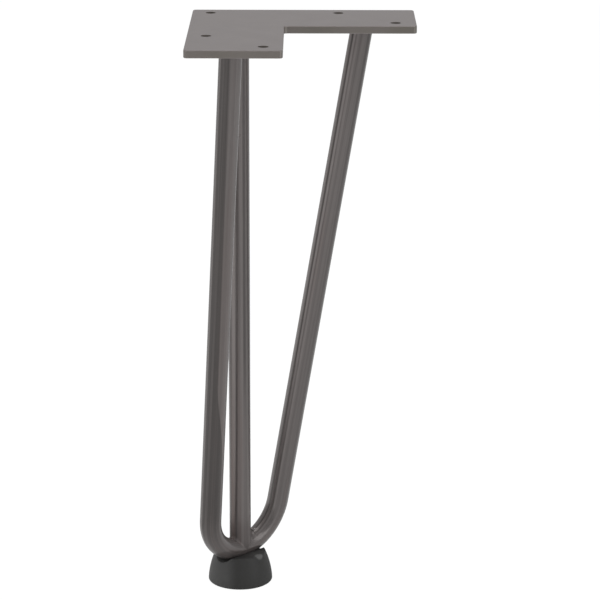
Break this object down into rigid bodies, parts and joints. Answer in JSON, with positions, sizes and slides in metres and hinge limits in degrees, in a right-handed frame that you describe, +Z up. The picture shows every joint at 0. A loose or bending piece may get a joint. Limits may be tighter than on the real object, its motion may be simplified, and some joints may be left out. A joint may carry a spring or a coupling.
{
  "type": "hairpin table leg",
  "caption": "Hairpin table leg of round steel bar: a leaning bent hairpin and an upright rod under an angle mounting plate, on a rubber foot.",
  "frame": {"origin": "on the mounting face, the plate's top, over the axis of the upright rod", "axes": "+Z up, out of the mounting face; the plate's arms run along +X and -Y from its outer corner; the leg is mirror-symmetric about the upright plane y = -x"},
  "size_m": [0.12, 0.12, 0.322],
  "materials": {
    "steel": "smooth satin lacquer, warm dark grey",
    "rubber": "matt black, moulded"
  },
  "bodies": {
    "root": {"mounting_plate": "steel", "hairpin_rod": "steel", "upright_rod": "steel", "upright_rod_weld": "steel", "left_limb_weld": "steel", "right_limb_weld": "steel", "foot": "rubber"}
  },
  "joints": []
}
